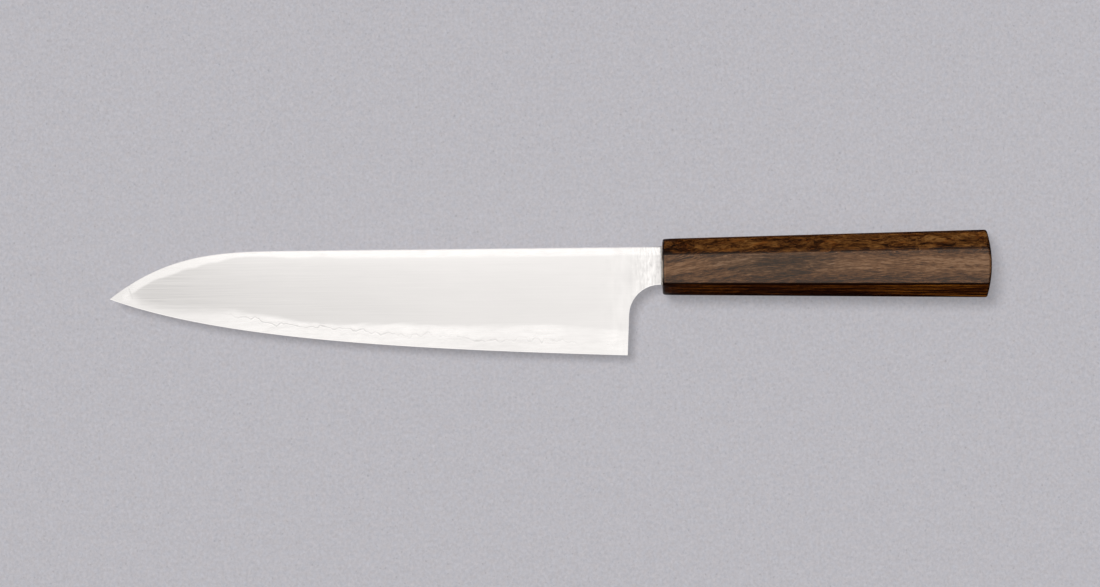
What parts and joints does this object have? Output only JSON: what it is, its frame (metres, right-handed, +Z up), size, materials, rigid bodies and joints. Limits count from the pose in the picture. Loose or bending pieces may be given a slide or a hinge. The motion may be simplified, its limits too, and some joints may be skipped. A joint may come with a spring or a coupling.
{
  "type": "gyuto knife",
  "caption": "Gyuto kitchen knife: a three-layer steel blade with a convex-ground edge, its tang bonded into a tapered octagonal wooden handle with a domed butt.",
  "frame": {"origin": "bottom centre of the box of the knife lying on its side", "axes": "+X from the point to the butt along the handle's axis, +Y from the edge to the spine, +Z up through the blade's thickness"},
  "size_m": [0.3554, 0.0488, 0.0229],
  "materials": {
    "core_steel": "fine satin, bright at the edge",
    "cladding_steel": "satin, brushed lengthwise",
    "adhesive": "dull, cured",
    "figured_wood": "oiled and polished, satin"
  },
  "bodies": {
    "root": {"blade_core": "core_steel", "front_cladding": "cladding_steel", "back_cladding": "cladding_steel", "tang_adhesive": "adhesive", "handle": "figured_wood"}
  },
  "joints": []
}
